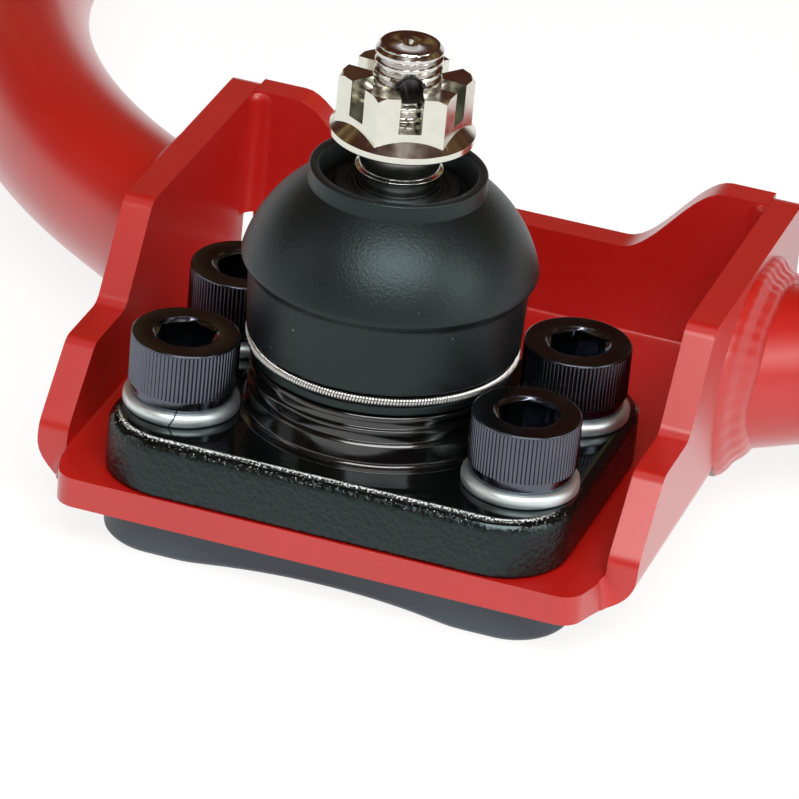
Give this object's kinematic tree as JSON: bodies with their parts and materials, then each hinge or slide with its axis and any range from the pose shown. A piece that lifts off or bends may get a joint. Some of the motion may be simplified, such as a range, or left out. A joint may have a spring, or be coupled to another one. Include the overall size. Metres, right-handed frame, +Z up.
{
  "type": "control arm",
  "caption": "Tubular steel upper control arm, A-shaped, powder coated red, with a bolted ball joint that slides in slots for camber and rubber pivot bushes.",
  "frame": {"origin": "middle of the pivot axis, halfway between the two bushes", "axes": "+X along the pivot axis, +Y from the ball joint towards the pivot, +Z up along the ball stud"},
  "size_m": [0.288, 0.247, 0.0795],
  "materials": {
    "red_powder_coat": "smooth red powder coat on steel, satin gloss",
    "black_e_coat": "black electrophoretic coat on a forging, semi-gloss with a fine dimple",
    "black_oxide": "black oxide on alloy steel, oiled, glossy",
    "slate_phosphate": "dark grey manganese phosphate, satin",
    "chloroprene_rubber": "moulded black chloroprene, matt with a soft sheen",
    "natural_rubber": "black natural rubber bonded to steel, matt",
    "zinc_plated_steel": "bright zinc plate, clear passivated",
    "stainless_wire": "drawn stainless spring wire",
    "nickel_plate": "bright nickel plate, slightly warm",
    "ground_steel": "turned and ground steel, bright",
    "hardened_steel": "hardened spring steel, dull grey",
    "acetal": "natural white acetal, matt"
  },
  "bodies": {
    "arm": {"tray": "red_powder_coat", "left_leg": "red_powder_coat", "right_leg": "red_powder_coat", "left_leg_weld": "red_powder_coat", "right_leg_weld": "red_powder_coat", "left_eye_weld": "red_powder_coat", "right_eye_weld": "red_powder_coat", "left_bush_eye": "red_powder_coat", "right_bush_eye": "red_powder_coat", "left_bush_shell": "zinc_plated_steel", "right_bush_shell": "zinc_plated_steel", "left_bush_rubber": "natural_rubber", "right_bush_rubber": "natural_rubber"},
    "ball_joint": {"ball_joint_housing": "black_e_coat", "lower_seat": "hardened_steel", "preload_spring": "hardened_steel", "end_cover": "black_e_coat", "clamp_plate": "slate_phosphate", "boot": "chloroprene_rubber", "boot_spring_ring": "stainless_wire", "front_left_cap_screw": "black_oxide", "front_right_cap_screw": "black_oxide", "back_left_cap_screw": "black_oxide", "back_right_cap_screw": "black_oxide", "front_left_spring_washer": "zinc_plated_steel", "front_right_spring_washer": "zinc_plated_steel", "back_left_spring_washer": "zinc_plated_steel", "back_right_spring_washer": "zinc_plated_steel"},
    "liner": {"ball_liner": "acetal"},
    "boot_collar": {"boot_seal_ring": "chloroprene_rubber"},
    "stud": {"ball_stud": "ground_steel", "castle_nut": "nickel_plate"},
    "left_pivot": {"left_inner_sleeve": "zinc_plated_steel"},
    "right_pivot": {"right_inner_sleeve": "zinc_plated_steel"}
  },
  "joints": [
    {"name": "camber_slide", "type": "slide", "parent": "arm", "child": "ball_joint", "axis": [0, 1, 0], "range_m": [0, 0.02]},
    {"name": "stud_swing", "type": "hinge", "parent": "ball_joint", "child": "liner", "pos_m": [0, -0.2, 0.0041], "axis": [1, 0, 0], "range_deg": [-24, 24], "deforming": ["boot"]},
    {"name": "stud_tilt", "type": "hinge", "parent": "liner", "child": "boot_collar", "pos_m": [0, -0.2, 0.0041], "axis": [0, 1, 0], "range_deg": [-20, 20], "deforming": ["boot"]},
    {"name": "stud_spin", "type": "hinge", "parent": "boot_collar", "child": "stud", "pos_m": [0, -0.2, 0.0041], "axis": [0, 0, 1], "continuous": true},
    {"name": "left_pivot_twist", "type": "hinge", "parent": "arm", "child": "left_pivot", "pos_m": [-0.12, 0, 0], "axis": [1, 0, 0], "range_deg": [-25, 25], "stiffness_Nm_per_rad": 20},
    {"name": "right_pivot_twist", "type": "hinge", "parent": "arm", "child": "right_pivot", "pos_m": [0.12, 0, 0], "axis": [1, 0, 0], "range_deg": [-25, 25], "stiffness_Nm_per_rad": 20}
  ]
}
